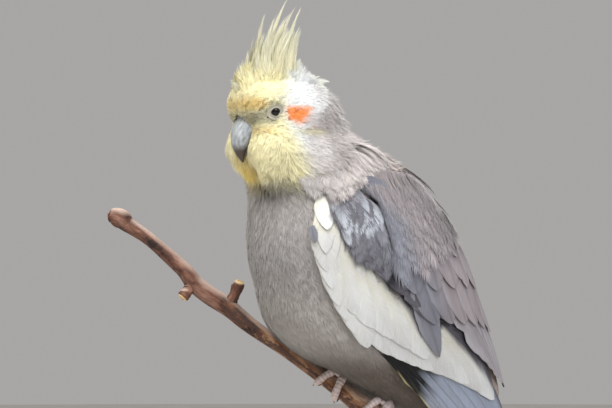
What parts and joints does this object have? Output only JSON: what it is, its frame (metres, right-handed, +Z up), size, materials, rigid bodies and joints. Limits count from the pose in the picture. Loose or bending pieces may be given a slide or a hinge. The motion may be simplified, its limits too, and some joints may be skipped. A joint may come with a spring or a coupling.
{
  "type": "cockatiel display model",
  "caption": "Life-size still model of a perched grey cockatiel with erect yellow crest, gripping a short cut branch held on a plain round display stand.",
  "frame": {"origin": "centre of the stand base's underside, on the floor", "axes": "+Z up, the bird faces -Y and its left side is +X"},
  "size_m": [0.152, 0.1772, 0.3101],
  "materials": {
    "face_feathers": "soft yellow feathers with an orange cheek patch",
    "crest_feathers": "pale yellow narrow feathers",
    "grey_feathers": "soft warm grey body feathers",
    "wing_feathers": "grey vaned feathers with a white wing patch",
    "foot_skin": "pinkish grey scaly skin with dark claws",
    "beak_horn": "blue grey horn, semi-gloss with fine striations",
    "eye": "dark brown glossy eye",
    "bark": "orange brown bark, worn and patchy",
    "rod_steel": "satin steel rod",
    "base_wood": "dark stained wood, satin"
  },
  "bodies": {
    "root": {"head": "face_feathers", "crest": "crest_feathers", "neck": "grey_feathers", "torso": "grey_feathers", "wing_left": "wing_feathers", "wing_right": "wing_feathers", "tail": "wing_feathers", "leg_left": "grey_feathers", "leg_right": "grey_feathers", "foot_left": "foot_skin", "foot_right": "foot_skin", "beak_upper": "beak_horn", "beak_lower": "beak_horn", "eye_left": "eye", "eye_right": "eye", "perch": "bark", "stand_rod": "rod_steel", "stand_base": "base_wood"}
  },
  "joints": []
}
